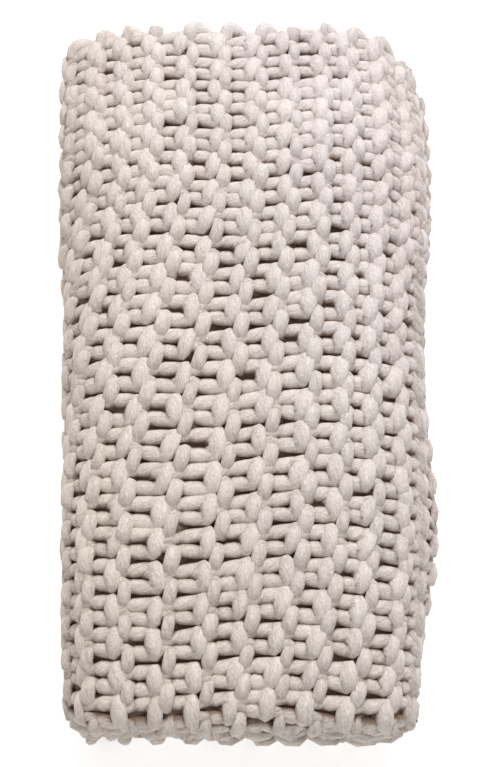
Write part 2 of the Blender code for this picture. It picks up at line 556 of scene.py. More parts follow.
@dataclass
class Loop:
    """The shape of one garter stitch, in the flat cloth.

    The yarn climbs from the sinker that joins it to its neighbour, through the head of the
    stitch below, to its own head, and back down in mirror image. Heads lie on the outer face in
    one row and on the inner face in the next.
    """

    gauge: Gauge
    bends: tuple[Bend, ...] = (
        Bend("sinker", -0.500, -0.0200, -0.0090, 0.0060, 0.76),
        Bend("sinker end", -0.295, -0.0201, -0.0082, 0.0060, 0.80),
        Bend("inward turn", -0.205, -0.0196, -0.0024, 0.0050, 0.90),
        Bend("foot", -0.165, -0.0162, 0.0046, 0.0046, 0.90),
        Bend("inside the head below", -0.120, -0.0072, 0.0064, 0.0046, 0.90),
        Bend("under the next sinker", -0.208, 0.0000, 0.0022, 0.0052, 0.90),
        Bend("leg", -0.234, 0.0058, 0.0030, 0.0066, 0.88),
        Bend("shoulder", -0.262, 0.0110, 0.0026, 0.0063, 0.86),
        Bend("under the head", -0.288, 0.0156, 0.0024, 0.0058, 0.78),
        Bend("fold", -0.300, 0.0188, 0.0048, 0.0064, 0.68),
        Bend("head end", -0.226, 0.0198, 0.0073, 0.0074, 0.57),
        Bend("head", 0.000, 0.0196, 0.0078, 0.0075, 0.55),
    )
    straightest: float = 40.0
    straightest_rolled: float = 400.0
    head_lean: float = 0.05
    sinker_lean: float = 0.17
    trial_points: int = 801

    @property
    def reach(self) -> float:
        """From the middle of a row to its heads or sinkers."""
        return self.bends[-1].rise

    def turns(self, count: int, rolled: bool = False) -> np.ndarray:
        """Shares of a stitch at which to draw it, closer together where its yarn bends.

        Args:
            count: How many points a stitch has.
            rolled: Whether it lies round the roll, which bends its straight parts too.

        Returns:
            The shares, from 0 up to but not including 1.
        """
        turn = np.linspace(0.0, 1.0, self.trial_points)
        across, rise, depth, _, _ = self.shape(turn, 1.0)
        points = np.stack((across * self.gauge.stitch_width, rise, depth), axis=-1)
        step = np.gradient(points, axis=0)
        length = np.linalg.norm(step, axis=1)
        bend = np.linalg.norm(np.gradient(step / length[:, None], axis=0), axis=1) / length
        straightest = self.straightest_rolled if rolled else self.straightest
        weight = length * np.sqrt(bend + straightest)
        total = np.concatenate(([0.0], np.cumsum((weight[1:] + weight[:-1]) / 2)))
        return np.interp(np.arange(count) / count * total[-1], total, turn)

    def shape(self, turn: np.ndarray, face: float) -> tuple[np.ndarray, ...]:
        """The yarn of one stitch.

        Args:
            turn: Shares of the stitch, from 0 at a sinker through 0.5 at the head to 1.
            face: 1 where the head lies on the outer face, -1 where it lies on the inner one.

        Returns:
            Stitch widths from the stitch's middle, rise, depth, radius and flatness.
        """
        half = np.array([bend[1:] for bend in self.bends])
        mirror = (-1.0, 1.0, 1.0, 1.0, 1.0)
        back = half[-2::-1] * mirror
        before, after = half[1] * mirror, half[1].copy()
        before[0] -= 1.0
        after[0] += 1.0
        knots = np.vstack((before, half, back, after))
        place = np.asarray(turn) * (len(knots) - 3)
        knot = np.clip(place.astype(int), 0, len(knots) - 4)
        t = (place - knot)[:, None]
        p0, p1, p2, p3 = (knots[knot + step] for step in range(4))
        curve = 0.5 * (
            2 * p1 + (p2 - p0) * t + (2 * p0 - 5 * p1 + 4 * p2 - p3) * t**2
            + (3 * p1 - p0 - 3 * p2 + p3) * t**3
        )
        across, rise, depth, radius, flat = curve.T
        head = np.sin(math.pi * turn) ** 2
        rise = rise - self.head_lean * head * across * self.gauge.stitch_width
        beside = across + np.where(turn < 0.5, 0.5, -0.5)
        rise = rise - self.sinker_lean * (1.0 - head) ** 2 * beside * self.gauge.stitch_width
        return across, rise, face * depth, radius, flat


@dataclass
class Jitter:
    """The small unevenness that hand-held knitting leaves in every stitch."""

    along: float = 0.0017
    rise: float = 0.0016
    depth: float = 0.0008
    radius: float = 0.13
    tilt: float = 0.26
    bow: float = 0.0019
    sway: float = 0.0030
    sway_rate: float = 0.55
    sway_turn: float = 0.9
    sway_drift: float = 0.13
    sway_phase: float = 0.4
    most_rows: int = 128
    most_stitches: int = 64

    def __post_init__(self) -> None:
        """Draws a table of random values: heads or sinkers, five values, rows, stitches."""
        rng = np.random.default_rng(SEED)
        self.table = rng.uniform(-1.0, 1.0, size=(2, 5, self.most_rows, self.most_stitches))

    def apply(
        self, row: int, stitch: int, turn: np.ndarray, along: np.ndarray
    ) -> tuple[np.ndarray, ...]:
        """The shift along, the rise, the depth and the radius factor of one stitch.

        Args:
            row: The stitch's row.
            stitch: Its number in the row.
            turn: Shares of the stitch, from 0 at a sinker through 0.5 at the head to 1.
            along: Distance along from the stitch's middle.

        Returns:
            The four values for each point.
        """
        head, leg = np.sin(math.pi * turn) ** 2, np.sin(2.0 * math.pi * turn) ** 2
        middle = self.table[0, :, row, stitch, None]
        before, after = (self.table[1, :, row, stitch + step, None] for step in (0, 1))
        climbing = turn < 0.5
        shift, lift, deepen, thicken, lean = (
            head * middle + (1.0 - head) * np.where(climbing, before, after)
        )
        bowed = self.bow * leg * np.where(climbing, middle[2], after[3])
        return (
            shift * self.along + bowed,
            lift * self.rise + lean * self.tilt * along * head,
            deepen * self.depth,
            1.0 + thicken * self.radius,
        )

    def swayed(self, line: np.ndarray, stitch: int) -> np.ndarray:
        """How far a column of stitches drifts to one side as it crosses the rows."""
        turn = self.sway_turn * np.sin(self.sway_drift * stitch + self.sway_phase)
        return self.sway * np.sin(self.sway_rate * line + turn)


@dataclass
class Strand:
    """A run of yarn in the flat cloth, in parts that follow one another.

    Each part has five arrays: rows from the free edge, distance along, depth, radius, flatness.
    """

    parts: list[tuple[np.ndarray, ...]] = field(default_factory=list)

    def add(self, *values: np.ndarray) -> None:
        """Adds a part."""
        self.parts.append(values)

    def joined(self) -> tuple[np.ndarray, ...]:
        """The whole run's five arrays."""
        return tuple(np.concatenate(values) for values in zip(*self.parts))

    def __bool__(self) -> bool:
        """Whether the run has any points."""
        return bool(self.parts)


class YarnLine(NamedTuple):
    """A run of yarn in the pile.

    Normal points away from the cloth. Cover is 1 within the cloth, where other yarn lies beside
    this one, and 0 at the cloth's edges; it sets how much of the painted shade between stitches
    the yarn takes.
    """

    points: np.ndarray
    normal: np.ndarray
    radius: np.ndarray
    flat: np.ndarray
    depth: np.ndarray
    cover: np.ndarray


@dataclass(frozen=True)
class YarnFinish:
    """Matte roving: three plies of fine fibres laid in a slow twist, in undyed tones, with painted
    shade in the recesses between stitches and towards the pile's sides.
    """

    name: str = "undyed_roving"
    light: tuple[float, float, float] = (1.0, 0.902, 0.808)
    mauve: tuple[float, float, float] = (0.985, 0.900, 0.880)
    # deep: the dark tone that fibres and tone drift mix towards, and also the colour of the painted
    # shade.
    deep: tuple[float, float, float] = (0.36, 0.25, 0.185)
    hue_slant: float = 0.40
    hue_wander: float = 0.08
    hue_span: tuple[float, float] = (-0.12, 0.18)
    roughness: float = 0.88
    sheen: float = 0.10
    fibres: float = 8.0
    run: float = 330.0
    ply_share: float = 0.45
    fibre_shade: float = 0.34
    fine_radius: float = 0.0058
    drift_scale: float = 16.0
    drift: float = 0.09
    fleck_scale: float = 520.0
    fleck_shade: float = 0.26
    # Painted shade towards the pile's left and right sides: over this span of |x|, up to this share
    # of the deep tone.
    rim_span: tuple[float, float] = (0.09, 0.17)
    rim_shade: float = 0.16
    # Painted shade in the recesses between stitches: where the yarn's surface lies within this span
    # of the ply's middle, up to this share of the deep tone.
    recess_span: tuple[float, float] = (0.0016, 0.0068)
    recess_shade: float = 1.20
    bump: float = 0.95
    bump_depth: float = 0.0013


@dataclass(frozen=True)
class ShadeSheetFinish:
    """A dark sheet of painted shade inside the cloth, which shows only between the stitches as
    their shadow.
    """

    name: str = "painted_shade_sheet"
    # Both tones are painted shade.
    light: tuple[float, float, float] = (0.27, 0.165, 0.125)
    deep: tuple[float, float, float] = (0.17, 0.10, 0.075)
    drift_scale: float = 60.0
    roughness: float = 0.95
    bump_depth: float = 0.001


class NodeTree:
    """A small helper that adds, fills and links nodes."""

    def __init__(self, tree: bpy.types.NodeTree) -> None:
        """Takes the tree that it fills."""
        self.tree = tree

    def add(self, kind: str, **inputs: object) -> bpy.types.Node:
        """Adds a node.

        Args:
            kind: The node's type.
            inputs: Socket values by name, with _ for a space. A socket links instead.

        Returns:
            The node.
        """
        return self.fill(self.tree.nodes.new(kind), **inputs)

    def place(self, group: bpy.types.NodeTree, **inputs: object) -> bpy.types.Node:
        """Places a shared group, with values of its own.

        Args:
            group: The group.
            inputs: Its socket values by name.

        Returns:
            The node.
        """
        node = self.tree.nodes.new("ShaderNodeGroup")
        node.node_tree = group
        return self.fill(node, **inputs)

    def fill(self, node: bpy.types.Node, **inputs: object) -> bpy.types.Node:
        """Sets or links a node's sockets by name.

        Args:
            node: The node.
            inputs: Socket values by name.

        Returns:
            The same node.
        """
        for name, value in inputs.items():
            self.feed(node.inputs[name.replace("_", " ")], value)
        return node

    def feed(self, socket: bpy.types.NodeSocket, value: object) -> None:
        """Sets a socket to a value, or links it.

        Args:
            socket: The socket to fill.
            value: A value, or the socket that gives it.
        """
        if isinstance(value, bpy.types.NodeSocket):
            self.tree.links.new(value, socket)
        else:
            socket.default_value = value

    def math(self, operation: str, first: object, second: object = 0.0) -> bpy.types.NodeSocket:
        """The result of a math node.

        Args:
            operation: What it does.
            first: Its first value.
            second: Its second value.

        Returns:
            The socket of the result.
        """
        node = self.tree.nodes.new("ShaderNodeMath")
        node.operation = operation
        self.feed(node.inputs[0], first)
        self.feed(node.inputs[1], second)
        return node.outputs[0]

    def ranged(
        self, value: object, low: float = 0.0, high: float = 1.0, **target: object
    ) -> bpy.types.NodeSocket:
        """A value carried from low..high onto 0..1, or onto To_Min..To_Max, and held there."""
        node = self.add("ShaderNodeMapRange", Value=value, From_Min=low, From_Max=high, **target)
        return node.outputs["Result"]

    def blend(self, factor: object, first: object, second: object) -> bpy.types.NodeSocket:
        """The mix of two colours.

        Args:
            factor: The share of the second.
            first: A colour or its socket.
            second: A colour or its socket.

        Returns:
            The socket of the mix.
        """
        node = self.tree.nodes.new("ShaderNodeMix")
        node.data_type = "RGBA"
        self.feed(node.inputs["Factor"], factor)
        for socket, value in zip([s for s in node.inputs if s.type == "RGBA"], (first, second)):
            self.feed(socket, (*value, 1.0) if isinstance(value, tuple) else value)
        return next(s for s in node.outputs if s.type == "RGBA")

    def attribute(self, name: str, output: str = "Fac") -> bpy.types.NodeSocket:
        """A named attribute, in a material.

        Args:
            name: The attribute.
            output: Which of the node's outputs to read.

        Returns:
            Its socket.
        """
        node = self.add("ShaderNodeAttribute")
        node.attribute_name = name
        return node.outputs[output]

    def stored(self, name: str, kind: str = "FLOAT") -> bpy.types.NodeSocket:
        """A named attribute, in Geometry Nodes.

        Args:
            name: The attribute.
            kind: Its data type.

        Returns:
            Its socket.
        """
        node = self.add("GeometryNodeInputNamedAttribute", Name=name)
        node.data_type = kind
        return next(s for s in node.outputs if s.enabled and s.name == "Attribute")


def new_material(name: str) -> tuple[bpy.types.Material, NodeTree, bpy.types.Node]:
    """Makes a material.

    Args:
        name: The material's name.

    Returns:
        The material, its nodes and its Principled shader.
    """
    material = bpy.data.materials.new(name)
    material.use_nodes = True
    nodes = NodeTree(material.node_tree)
    return material, nodes, material.node_tree.nodes["Principled BSDF"]


def new_object(name: str, data: bpy.types.ID) -> bpy.types.Object:
    """Puts an object into the scene.

    Args:
        name: Its name.
        data: Its mesh, light or camera.

    Returns:
        The object.
    """
    made = bpy.data.objects.new(name, data)
    bpy.context.scene.collection.objects.link(made)
    return made


class SharedEffects:
    """Shader node groups that more than one finish uses, or one finish uses twice."""

    DETAIL = 3.0
    COARSE_SCALE = 0.3
    COARSE_DETAIL = 2.0
    FINE_SHARE = 0.70
    TONE_SPAN = (0.3, 0.7)
    FIBRE_SPAN = (0.40, 0.60)
    PLIES = 3
    PLY_ROUNDNESS = 0.5

    def __init__(self) -> None:
        """Builds each group once."""
        self.tone = self.tone_group()
        self.fibres = self.fibre_group()

    @staticmethod
    def group(
        name: str, vector: str, numbers: tuple[str, ...], outputs: tuple[str, ...]
    ) -> tuple[NodeTree, bpy.types.bpy_prop_collection, bpy.types.bpy_prop_collection]:
        """An empty group with named sockets.

        Args:
            name: The group's name.
            vector: The name of its one vector input.
            numbers: The names of its other inputs.
            outputs: The names of its outputs.

        Returns:
            Its helper, the sockets of its inputs, and the sockets that its results go into.
        """
        tree = bpy.data.node_groups.new(name, "ShaderNodeTree")
        tree.interface.new_socket(name=vector, in_out="INPUT", socket_type="NodeSocketVector")
        for way, labels in (("INPUT", numbers), ("OUTPUT", outputs)):
            for label in labels:
                tree.interface.new_socket(name=label, in_out=way, socket_type="NodeSocketFloat")
        nodes = NodeTree(tree)
        return nodes, nodes.add("NodeGroupInput").outputs, nodes.add("NodeGroupOutput").inputs

    def tone_group(self) -> bpy.types.NodeTree:
        """Drifts of tone over the cloth, from 0 to 1.

        Returns:
            The group.
        """
        nodes, given, result = self.group("tone_drift", "Place", ("Scale",), ("Tone",))
        noise = nodes.add(
            "ShaderNodeTexNoise", Vector=given["Place"], Scale=given["Scale"], Detail=self.DETAIL
        )
        nodes.feed(result["Tone"], nodes.ranged(noise.outputs["Fac"], *self.TONE_SPAN))
        return nodes.tree

    def fibre_group(self) -> bpy.types.NodeTree:
        """Fibres and plies along a twisted yarn: a height and a tone, from 0 to 1.

        Returns:
            The group.
        """
        nodes, given, result = self.group(
            "fibre_lay",
            "Ring",
            ("Along", "Twist", "Fibres", "Run", "Ply Share"),
            ("Height", "Tone"),
        )
        turned = nodes.add("ShaderNodeVectorRotate", Vector=given["Ring"], Angle=given["Twist"])
        turned.rotation_type = "Z_AXIS"
        ring = nodes.add("ShaderNodeSeparateXYZ", Vector=turned.outputs["Vector"]).outputs
        place = nodes.add(
            "ShaderNodeCombineXYZ",
            X=nodes.math("MULTIPLY", ring["X"], given["Fibres"]),
            Y=nodes.math("MULTIPLY", ring["Y"], given["Fibres"]),
            Z=nodes.math("MULTIPLY", given["Along"], given["Run"]),
        ).outputs["Vector"]
        shares = []
        for scale, detail, share in (
            (1.0, self.DETAIL, self.FINE_SHARE),
            (self.COARSE_SCALE, self.COARSE_DETAIL, 1.0 - self.FINE_SHARE),
        ):
            noise = nodes.add("ShaderNodeTexNoise", Vector=place, Scale=scale, Detail=detail)
            spread = nodes.ranged(noise.outputs["Fac"], *self.FIBRE_SPAN)
            shares.append(nodes.math("MULTIPLY", spread, share))
        tone = nodes.math("ADD", *shares)
        angle = nodes.math("ARCTAN2", ring["Y"], ring["X"])
        wave = nodes.math("SINE", nodes.math("MULTIPLY", angle, self.PLIES / 2))
        ply = nodes.math("POWER", nodes.math("ABSOLUTE", wave), self.PLY_ROUNDNESS)
        mixed = nodes.add("ShaderNodeMix", Factor=given["Ply Share"], A=tone, B=ply)
        nodes.feed(result["Height"], mixed.outputs["Result"])
        nodes.feed(result["Tone"], tone)
        return nodes.tree


class Finishes:
    """The materials of the throw."""

    def __init__(self) -> None:
        """Builds the shared groups and both materials."""
        self.effects = SharedEffects()
        self.yarn = self.yarn_material(YarnFinish())
        # The second material is painted shade for the sheet inside the cloth.
        self.shade_sheet = self.shade_sheet_material(ShadeSheetFinish())

    def yarn_material(self, finish: YarnFinish) -> bpy.types.Material:
        """The roving, with its fibres in colour and in bump, and painted shade between stitches and
        towards the pile's sides.

        Args:
            finish: Its tones and sizes.

        Returns:
            The material.
        """
        material, nodes, shader = new_material(finish.name)
        ring = nodes.attribute(YarnTree.RING, "Vector")
        radius = nodes.attribute(YarnTree.RADIUS)
        fibres = nodes.place(
            self.effects.fibres,
            Ring=ring,
            Along=nodes.attribute(YarnTree.ALONG),
            Twist=nodes.attribute(YarnTree.TWIST),
            Fibres=finish.fibres,
            Run=finish.run,
            Ply_Share=finish.ply_share,
        ).outputs["Height"]
        where = nodes.add("ShaderNodeTexCoord").outputs["Object"]
        tone, flecks = (
            nodes.place(self.effects.tone, Place=where, Scale=scale).outputs["Tone"]
            for scale in (finish.drift_scale, finish.fleck_scale)
        )
        side = nodes.add("ShaderNodeSeparateXYZ", Vector=where).outputs

        slant = nodes.math("ADD", side["X"], nodes.math("MULTIPLY", side["Y"], finish.hue_slant))
        wander = nodes.math("MULTIPLY", tone, finish.hue_wander)
        hue = nodes.ranged(nodes.math("ADD", slant, wander), *finish.hue_span)
        light = nodes.blend(hue, finish.light, finish.mauve)

        slender = nodes.math("POWER", nodes.math("DIVIDE", finish.fine_radius, radius), 2.0)
        between_fibres = nodes.ranged(
            fibres, To_Min=nodes.math("MULTIPLY", slender, finish.fibre_shade), To_Max=0.0
        )
        # Painted shade: the yarn darkens towards the deep tone where its surface lies near the
        # middle of the ply, in the recesses between stitches, except at the cloth's edges.
        thick = nodes.math("MULTIPLY", radius, nodes.attribute(YarnTree.FLAT))
        outward = nodes.add("ShaderNodeSeparateXYZ", Vector=ring).outputs["X"]
        surface = nodes.math(
            "ADD", nodes.attribute(YarnTree.DEPTH), nodes.math("MULTIPLY", outward, thick)
        )
        recess = nodes.ranged(
            nodes.math("ABSOLUTE", surface),
            *finish.recess_span,
            To_Min=finish.recess_shade,
            To_Max=0.0,
        )
        between_stitches = nodes.math("MULTIPLY", recess, nodes.attribute(YarnTree.COVER))
        # Painted shade: darker towards the pile's left and right sides.
        rim = nodes.ranged(
            nodes.math("ABSOLUTE", side["X"]), *finish.rim_span, To_Max=finish.rim_shade
        )
        drift = nodes.math("MULTIPLY", tone, finish.drift)
        fleck = nodes.math("SUBTRACT", flecks, 0.5)
        drift = nodes.math("ADD", drift, nodes.math("MULTIPLY", fleck, finish.fleck_shade))
        shade = nodes.math("ADD", between_fibres, between_stitches)
        shade = nodes.math("ADD", shade, nodes.math("ADD", drift, rim))

        bump = nodes.add(
            "ShaderNodeBump", Height=fibres, Strength=finish.bump, Distance=finish.bump_depth
        )
        nodes.fill(
            shader,
            Base_Color=nodes.blend(shade, light, finish.deep),
            Normal=bump.outputs["Normal"],
            Roughness=finish.roughness,
            Sheen_Weight=finish.sheen,
        )
        return material

    def shade_sheet_material(self, finish: ShadeSheetFinish) -> bpy.types.Material:
        """The sheet, in painted shade: dark tones of the yarn that stand for the shadow between
        stitches.

        Args:
            finish: Its tones and sizes.

        Returns:
            The material.
        """
        material, nodes, shader = new_material(finish.name)
        where = nodes.add("ShaderNodeTexCoord").outputs["Object"]
        tone = nodes.place(self.effects.tone, Place=where, Scale=finish.drift_scale).outputs["Tone"]
        bump = nodes.add("ShaderNodeBump", Height=tone, Distance=finish.bump_depth)
        nodes.fill(
            shader,
            Base_Color=nodes.blend(tone, finish.light, finish.deep),
            Normal=bump.outputs["Normal"],
            Roughness=finish.roughness,
        )
        return material


class YarnTree:
    """The Geometry Nodes tree that gives a line of points its yarn.

    Yarn of SLENDER_RADIUS turns by TURN_RATE radians a metre, and thicker yarn is twisted less.
    """

    RING = "yarn_ring"
    ALONG = "yarn_along"
    RADIUS = "yarn_radius"
    NORMAL = "yarn_normal"
    FLAT = "yarn_flat"
    TWIST = "yarn_twist"
    DEPTH = "yarn_depth"
    COVER = "yarn_cover"
    SLENDER_RADIUS = 0.0043
    TURN_RATE = 260.0
    REST_HEIGHT = 0.0004

    def __init__(self) -> None:
        """Builds the tree once."""
        self.tree = bpy.data.node_groups.new("yarn_sweep", "GeometryNodeTree")
        for label, way, kind in (
            ("Geometry", "INPUT", "NodeSocketGeometry"),
            ("Sides", "INPUT", "NodeSocketInt"),
            ("Material", "INPUT", "NodeSocketMaterial"),
            ("Geometry", "OUTPUT", "NodeSocketGeometry"),
        ):
            self.tree.interface.new_socket(name=label, in_out=way, socket_type=kind)
        self.build()

    def pressed(self, nodes: NodeTree, mesh: bpy.types.NodeSocket) -> bpy.types.NodeSocket:
        """Presses round yarn to an oval, thin along its outward direction.

        Args:
            nodes: The tree's helper.
            mesh: The socket of the round yarn.

        Returns:
            The socket of the pressed yarn.
        """
        ring = nodes.add("ShaderNodeSeparateXYZ", Vector=nodes.stored(self.RING, "FLOAT_VECTOR"))
        press = nodes.math("SUBTRACT", nodes.stored(self.FLAT), 1.0)
        width = nodes.math("MULTIPLY", ring.outputs["X"], nodes.stored(self.RADIUS))
        shift = nodes.tree.nodes.new("ShaderNodeVectorMath")
        shift.operation = "SCALE"
        nodes.feed(shift.inputs[0], nodes.stored(self.NORMAL, "FLOAT_VECTOR"))
        nodes.feed(shift.inputs["Scale"], nodes.math("MULTIPLY", press, width))
        moved = nodes.add(
            "GeometryNodeSetPosition", Geometry=mesh, Offset=shift.outputs["Vector"]
        )
        return moved.outputs["Geometry"]

    def build(self) -> None:
        """Adds the nodes: line to curve, radius and normal, sweep, pressing and material."""
        nodes = NodeTree(self.tree)
        start, end = nodes.add("NodeGroupInput"), nodes.add("NodeGroupOutput")
        radius = nodes.stored(self.RADIUS)
        line = nodes.add("GeometryNodeMeshToCurve", Mesh=start.outputs["Geometry"])
        sized = nodes.add("GeometryNodeSetCurveRadius", Curve=line.outputs["Curve"], Radius=radius)
        turned = nodes.add("GeometryNodeSetCurveNormal")
        turned.mode = "FREE"
        normal = nodes.stored(self.NORMAL, "FLOAT_VECTOR")
        nodes.fill(turned, Curve=sized.outputs["Curve"], Normal=normal)
        circle = nodes.add("GeometryNodeCurvePrimitiveCircle", Resolution=start.outputs["Sides"])
        ring = nodes.add(
            "GeometryNodeStoreNamedAttribute", Geometry=circle.outputs["Curve"], Name=self.RING
        )
        ring.data_type = "FLOAT_VECTOR"
        ring.domain = "POINT"
        value = next(s for s in ring.inputs if s.name == "Value" and s.enabled)
        nodes.feed(value, nodes.add("GeometryNodeInputPosition").outputs["Position"])
        sweep = nodes.add(
            "GeometryNodeCurveToMesh",
            Curve=turned.outputs["Curve"],
            Profile_Curve=ring.outputs["Geometry"],
            Scale=radius,
            Fill_Caps=True,
        )
        pressed = self.pressed(nodes, sweep.outputs["Mesh"])
        shaded = nodes.add("GeometryNodeSetShadeSmooth", Geometry=pressed)
        real = nodes.add("GeometryNodeRealizeInstances", Geometry=shaded.outputs["Geometry"])
        dressed = nodes.add(
            "GeometryNodeSetMaterial",
            Geometry=real.outputs["Geometry"],
            Material=start.outputs["Material"],
        )
        nodes.feed(end.inputs["Geometry"], dressed.outputs["Geometry"])

    def line_mesh(self, name: str, lines: list[YarnLine]) -> bpy.types.Mesh:
        """A mesh of bare lines that carries the yarn's attributes.

        Args:
            name: The mesh's name.
            lines: The runs of yarn.

        Returns:
            The mesh.
        """
        points, *values = (np.concatenate(part) for part in zip(*lines))
        lengths, twists, links, first = [], [], [], 0
        for line in lines:
            step = np.linalg.norm(np.diff(line.points, axis=0, prepend=line.points[:1]), axis=1)
            lengths.append(np.cumsum(step))
            slender = (self.SLENDER_RADIUS / line.radius) ** 3
            twists.append(np.cumsum(self.TURN_RATE * step * slender))
            links.append(np.arange(len(step) - 1)[:, None] + (0, 1) + first)
            first += len(step)
        mesh = bpy.data.meshes.new(name)
        mesh.from_pydata(points.tolist(), np.concatenate(links).tolist(), [])
        values += [np.concatenate(lengths), np.concatenate(twists)]
        labels = (self.NORMAL, self.RADIUS, self.FLAT, self.DEPTH, self.COVER)
        for label, value in zip((*labels, self.ALONG, self.TWIST), values):
            kind, key = ("FLOAT_VECTOR", "vector") if value.ndim == 2 else ("FLOAT", "value")
            layer = mesh.attributes.new(label, kind, "POINT")
            layer.data.foreach_set(key, np.ascontiguousarray(value, np.float32).ravel())
        return mesh

    def sweep(
        self, name: str, lines: list[YarnLine], sides: int, material: bpy.types.Material
    ) -> bpy.types.Object:
        """Makes yarn along lines of points, as one plain mesh.

        Args:
            name: The piece's name.
            lines: The runs of yarn.
            sides: Sides round the yarn.
            material: The finish.

        Returns:
            The piece.
        """
        mesh = self.line_mesh(name + "_line", lines)
        source = new_object(name + "_line", mesh)
        modifier = source.modifiers.new("yarn", "NODES")
        modifier.node_group = self.tree
        sockets = {
            item.name: item.identifier
            for item in self.tree.interface.items_tree
            if item.in_out == "INPUT"
        }
        modifier[sockets["Sides"]] = sides
        modifier[sockets["Material"]] = material
        graph = bpy.context.evaluated_depsgraph_get()
        made = bpy.data.meshes.new_from_object(
            source.evaluated_get(graph), preserve_all_data_layers=True, depsgraph=graph
        )
        made.name = name
        self.press_underside(made)
        bpy.data.objects.remove(source)
        bpy.data.meshes.remove(mesh)
        return new_object(name, made)

    def press_underside(self, mesh: bpy.types.Mesh) -> None:
        """Presses the yarn flat where the pile's weight rests on it.

        Args:
            mesh: The yarn.
        """
        points = np.empty(len(mesh.vertices) * 3, np.float32)
        mesh.vertices.foreach_get("co", points)
        points[2::3] = np.maximum(points[2::3], self.REST_HEIGHT)
        mesh.vertices.foreach_set("co", points)
        mesh.update()


class Piece(NamedTuple):
    """A group of rows that becomes one piece."""

    name: str
    first: int
    last: int
    detail: Detail


class Tuck(NamedTuple):
    """The share of its rise and depth that a row's heads keep beside the bound-off edge."""

    rise: float
    depth: float


